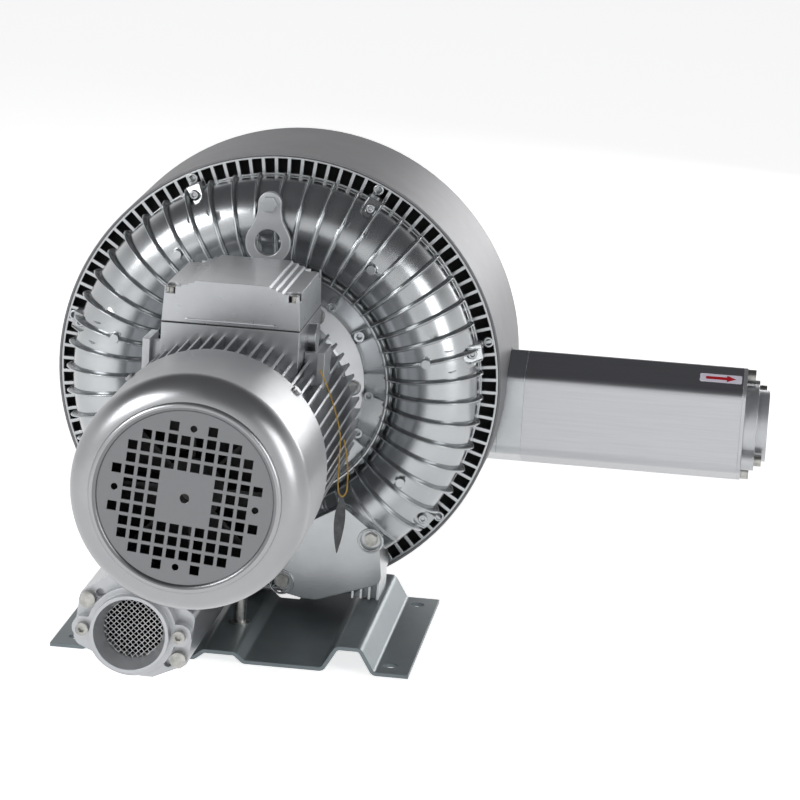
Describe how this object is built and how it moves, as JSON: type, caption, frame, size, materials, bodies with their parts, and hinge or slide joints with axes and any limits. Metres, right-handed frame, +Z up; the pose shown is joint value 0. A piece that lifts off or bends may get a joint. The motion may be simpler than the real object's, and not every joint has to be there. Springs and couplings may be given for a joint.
{
  "type": "side channel blower",
  "caption": "Side channel blower with a flange motor, ribbed round casing, silencers on both ports and a bent sheet base.",
  "frame": {"origin": "midway between the four base holes, on the underside of the base plate", "axes": "+Z up; the motor axis lies along Y at X=0 with the fan cowl towards -Y; the outlet silencer points along +X"},
  "size_m": [0.7785, 0.747, 0.4974],
  "materials": {
    "bare_aluminium": "machined",
    "base_paint": "satin",
    "bearing_steel": "polished",
    "black_plastic": "matte",
    "black_rubber": "matte",
    "cast_silver": "satin silver paint on aluminium castings",
    "copper_winding": "varnished",
    "cord_yellow": "twisted",
    "core_steel": "laminated",
    "cowl_paint": "satin",
    "drum_paint": "satin",
    "foam": "open foam",
    "label_print": "printed film",
    "silencer_aluminium": "brushed",
    "tag_card": "coated",
    "zinc_steel": "zinc plated"
  },
  "bodies": {
    "housing": {"base_bolts": "zinc_steel", "base_plate": "base_paint", "blanking_plugs": "cast_silver", "case_screws": "zinc_steel", "centre_housing": "cast_silver", "drive_bearing_outer": "bearing_steel", "drive_end_shield": "cast_silver", "fan_cowl": "cowl_paint", "fan_cowl_screws": "zinc_steel", "flow_label": "label_print", "front_housing": "cast_silver", "hang_tag": "tag_card", "inlet_collar": "cast_silver", "inlet_end_cap": "silencer_aluminium", "inlet_flange_screws": "zinc_steel", "inlet_liner": "foam", "inlet_mesh": "bare_aluminium", "inlet_port_flange": "bare_aluminium", "inlet_silencer_tube": "silencer_aluminium", "inlet_tie_rods": "zinc_steel", "lifting_eye": "cast_silver", "lifting_eye_bolt": "zinc_steel", "motor_frame": "cast_silver", "outer_shroud": "drum_paint", "outlet_collar": "cast_silver", "outlet_end_cap": "silencer_aluminium", "outlet_flange_screws": "zinc_steel", "outlet_liner": "foam", "outlet_mesh": "bare_aluminium", "outlet_port_flange": "bare_aluminium", "outlet_silencer_tube": "silencer_aluminium", "outlet_tie_rods": "zinc_steel", "port_cover": "cast_silver", "port_cover_bolts": "zinc_steel", "rear_bearing_outer": "bearing_steel", "rear_end_shield": "cast_silver", "rear_housing": "cast_silver", "shield_screws": "zinc_steel", "stator_core": "core_steel", "stator_windings": "copper_winding", "support_post": "zinc_steel", "tag_cord": "cord_yellow", "terminal_block": "black_plastic", "terminal_box_body": "cast_silver", "terminal_box_gasket": "black_rubber", "terminal_box_lid": "cast_silver", "terminal_box_screws": "zinc_steel"},
    "rotor": {"shaft": "zinc_steel", "front_impeller": "bare_aluminium", "rear_impeller": "bare_aluminium", "impeller_spacer": "zinc_steel", "impeller_nut": "zinc_steel", "rotor_core": "core_steel", "cooling_fan": "black_plastic", "drive_bearing_inner": "bearing_steel", "rear_bearing_inner": "bearing_steel"},
    "drive_ball_set": {"drive_bearing_balls": "bearing_steel"},
    "rear_ball_set": {"rear_bearing_balls": "bearing_steel"}
  },
  "joints": [
    {"name": "rotor_spin", "type": "hinge", "parent": "housing", "child": "rotor", "pos_m": [0, 0.046, 0.251], "axis": [0, 1, 0], "continuous": true},
    {"name": "drive_ball_orbit", "type": "hinge", "parent": "housing", "child": "drive_ball_set", "pos_m": [0, 0.046, 0.251], "axis": [0, 1, 0], "continuous": true},
    {"name": "rear_ball_orbit", "type": "hinge", "parent": "housing", "child": "rear_ball_set", "pos_m": [0, -0.304, 0.251], "axis": [0, 1, 0], "continuous": true}
  ],
  "couplings": [
    {"joint": "drive_ball_orbit", "follows": "rotor_spin", "ratio": 0.3922},
    {"joint": "rear_ball_orbit", "follows": "rotor_spin", "ratio": 0.3922}
  ]
}
